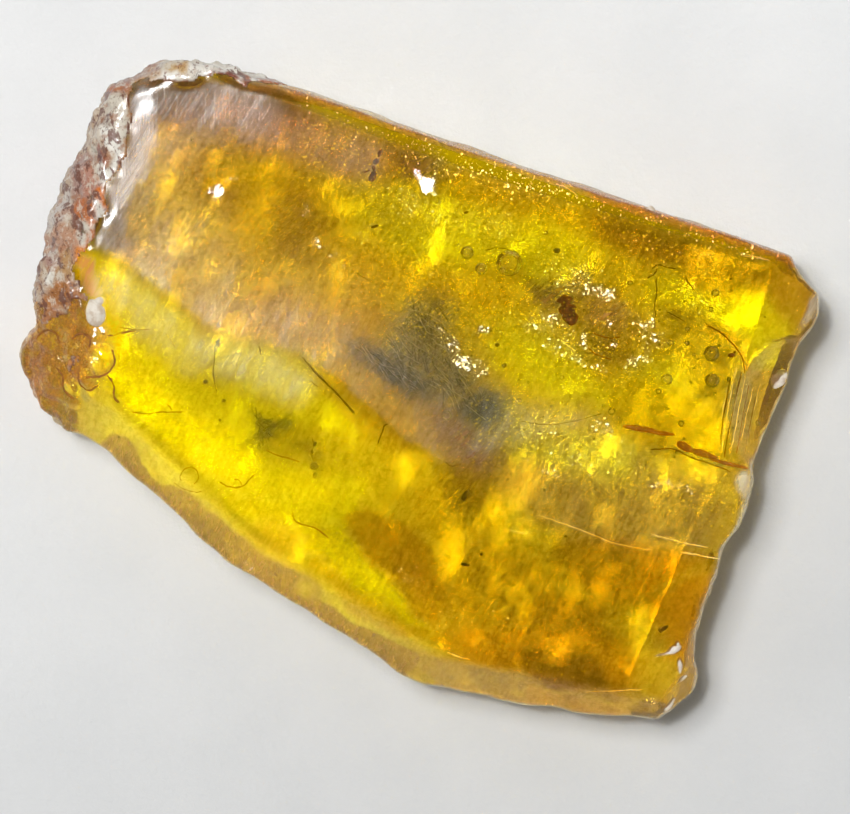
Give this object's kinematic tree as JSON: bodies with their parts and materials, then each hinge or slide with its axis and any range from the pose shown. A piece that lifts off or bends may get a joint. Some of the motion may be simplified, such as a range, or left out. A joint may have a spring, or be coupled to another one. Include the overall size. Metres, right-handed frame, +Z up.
{
  "type": "raw amber piece",
  "caption": "Flat lump of clear yellow amber, polished on top, with a sawn edge, a broken end, weathered skin on one side and bubbles, cracks and debris sealed inside.",
  "frame": {"origin": "on the flat underside, below the middle of the outline", "axes": "+X along the longer side of the outline towards the broken end, +Y towards the sawn edge, +Z up out of the polished top"},
  "size_m": [0.0398, 0.033, 0.0084],
  "materials": {
    "clear_resin": "see-through golden resin, ground and polished top with fine scratches, glossy break",
    "weathered_skin": "cream and brown weathered crust, uneven and dull to waxy",
    "air": "sealed air in bubbles and thin fracture planes",
    "plant_debris": "dark brown to black organic specks, splinters and fragments",
    "cloudy_veil": "grey-green cloudy film sealed in the resin"
  },
  "bodies": {
    "root": {"amber_piece": "clear_resin"}
  },
  "joints": []
}
